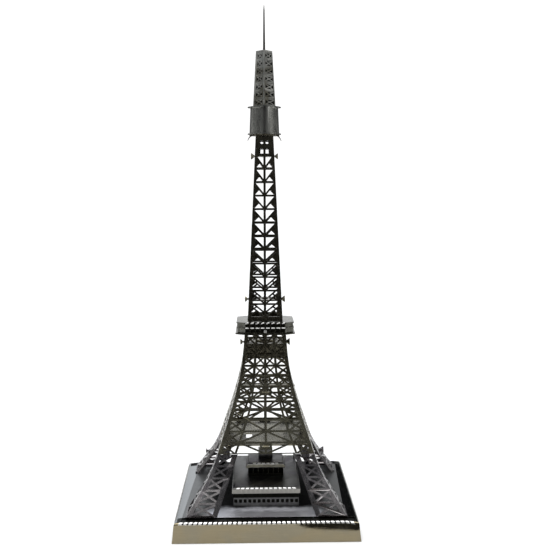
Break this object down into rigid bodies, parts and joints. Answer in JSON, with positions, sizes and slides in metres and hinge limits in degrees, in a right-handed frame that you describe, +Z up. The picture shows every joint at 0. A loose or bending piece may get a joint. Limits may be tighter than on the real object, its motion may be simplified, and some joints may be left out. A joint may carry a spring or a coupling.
{
  "type": "lattice tower miniature",
  "caption": "Souvenir model of a tall lattice broadcasting tower with two lookout levels, folded from thin etched steel sheet and standing on a square tray base.",
  "frame": {"origin": "centre of the base's underside", "axes": "+Z up along the tower, -Y towards the front with the foot building's narrower face, +X to the right seen from the front"},
  "size_m": [0.0414, 0.0414, 0.119],
  "materials": {
    "tower_steel": "dark bright-rolled sheet, mirror-like with fine etching marks",
    "hall_steel": "dark bright-rolled sheet",
    "satin_steel": "satin, with upright brush lines",
    "base_steel": "polished sheet with a few handling marks"
  },
  "bodies": {
    "root": {"base_tray": "base_steel", "hall_walls": "hall_steel", "hall_roof": "hall_steel", "upper_hall_walls": "hall_steel", "upper_hall_roof": "hall_steel", "roof_house": "hall_steel", "leg_front_right": "tower_steel", "leg_back_right": "tower_steel", "leg_back_left": "tower_steel", "leg_front_left": "tower_steel", "body_panel_front": "tower_steel", "body_panel_right": "tower_steel", "body_panel_back": "tower_steel", "body_panel_left": "tower_steel", "body_lower_diaphragm": "tower_steel", "body_middle_diaphragm": "tower_steel", "body_upper_diaphragm": "tower_steel", "shaft_lower_diaphragm": "tower_steel", "shaft_upper_diaphragm": "tower_steel", "deck_floor": "tower_steel", "deck_lower_walls": "tower_steel", "deck_ledge": "tower_steel", "deck_upper_walls": "tower_steel", "deck_roof": "tower_steel", "shaft_panel_front": "tower_steel", "shaft_panel_right": "tower_steel", "shaft_panel_back": "tower_steel", "shaft_panel_left": "tower_steel", "lookout_floor": "satin_steel", "lookout_shell_front_right": "satin_steel", "lookout_shell_back_right": "satin_steel", "lookout_shell_back_left": "satin_steel", "lookout_shell_front_left": "satin_steel", "lookout_roof": "satin_steel", "antenna_panel_front_right": "tower_steel", "antenna_panel_back_right": "tower_steel", "antenna_panel_back_left": "tower_steel", "antenna_panel_front_left": "tower_steel", "antenna_cap": "tower_steel", "mast": "tower_steel"}
  },
  "joints": []
}
